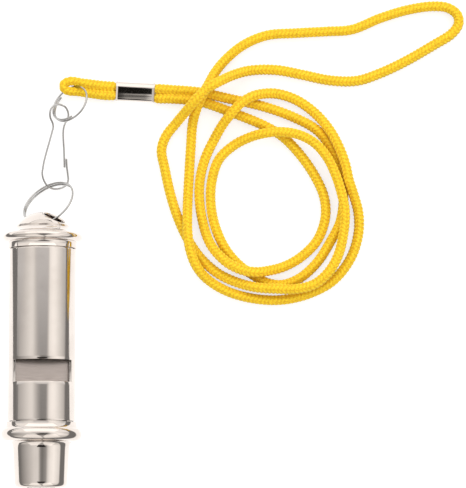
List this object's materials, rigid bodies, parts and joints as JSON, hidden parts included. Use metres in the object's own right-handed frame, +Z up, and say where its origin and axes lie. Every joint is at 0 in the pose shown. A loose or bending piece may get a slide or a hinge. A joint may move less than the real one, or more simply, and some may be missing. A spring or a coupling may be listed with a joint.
{
  "type": "bird whistle",
  "caption": "Tubular metal bird whistle with a windowed barrel and a pierced dome cap, on a split ring, wire clip and loosely coiled yellow neck cord",
  "frame": {"origin": "on the surface that the whistle lies on, under the middle of the box round the whistle, its rings and its clip", "axes": "+X to the right across the barrel, towards the coiled cord; +Y along the barrel from mouthpiece to cap; +Z up from the surface"},
  "size_m": [0.1387, 0.1479, 0.0239],
  "materials": {
    "nickel_plate": "bright nickel plate on brass",
    "inner_plate": "fine brushed",
    "steel_wire": "bright drawn wire",
    "crimp_metal": "bright, lightly marked by the press",
    "yellow_cord": "round braided cord"
  },
  "bodies": {
    "whistle": {"barrel_tube": "nickel_plate", "mouthpiece": "nickel_plate", "end_cap": "nickel_plate", "septum_plate": "inner_plate", "front_fipple_plug": "inner_plate", "rear_fipple_plug": "inner_plate", "chamber_end_disc": "inner_plate"},
    "cap_ring": {"cap_split_ring": "steel_wire"},
    "clip": {"clip_hook": "steel_wire"},
    "gate": {"clip_gate": "steel_wire"},
    "lanyard_ring": {"lanyard_split_ring": "steel_wire"},
    "lanyard": {"crimp_ferrule": "crimp_metal", "lanyard_bight": "yellow_cord", "lanyard_loop": "yellow_cord"}
  },
  "joints": [
    {"name": "cap_ring_swing", "type": "hinge", "parent": "whistle", "child": "cap_ring", "pos_m": [0.00007, 0.01928, 0.01112], "axis": [0.8387, 0, 0.5446], "range_deg": [-45, 105]},
    {"name": "clip_swing", "type": "hinge", "parent": "cap_ring", "child": "clip", "pos_m": [0.00305, 0.03092, 0.0024], "axis": [0.8621, 0.0622, 0.5029], "range_deg": [-35, 40]},
    {"name": "gate_press", "type": "hinge", "parent": "clip", "child": "gate", "pos_m": [0.00499, 0.05458, 0.00233], "axis": [0.3128, -0.0616, 0.9478], "range_deg": [-12, 0], "stiffness_Nm_per_rad": 0.05},
    {"name": "lanyard_ring_swing", "type": "hinge", "parent": "clip", "child": "lanyard_ring", "pos_m": [0.0021, 0.05189, 0.00319], "axis": [-0.2321, 0.7317, -0.6409], "range_deg": [-30, 25]},
    {"name": "lanyard_swing", "type": "hinge", "parent": "lanyard_ring", "child": "lanyard", "pos_m": [0.00791, 0.06038, 0.00237], "axis": [0.8205, 0.1278, 0.5572], "range_deg": [-40, 40]}
  ]
}
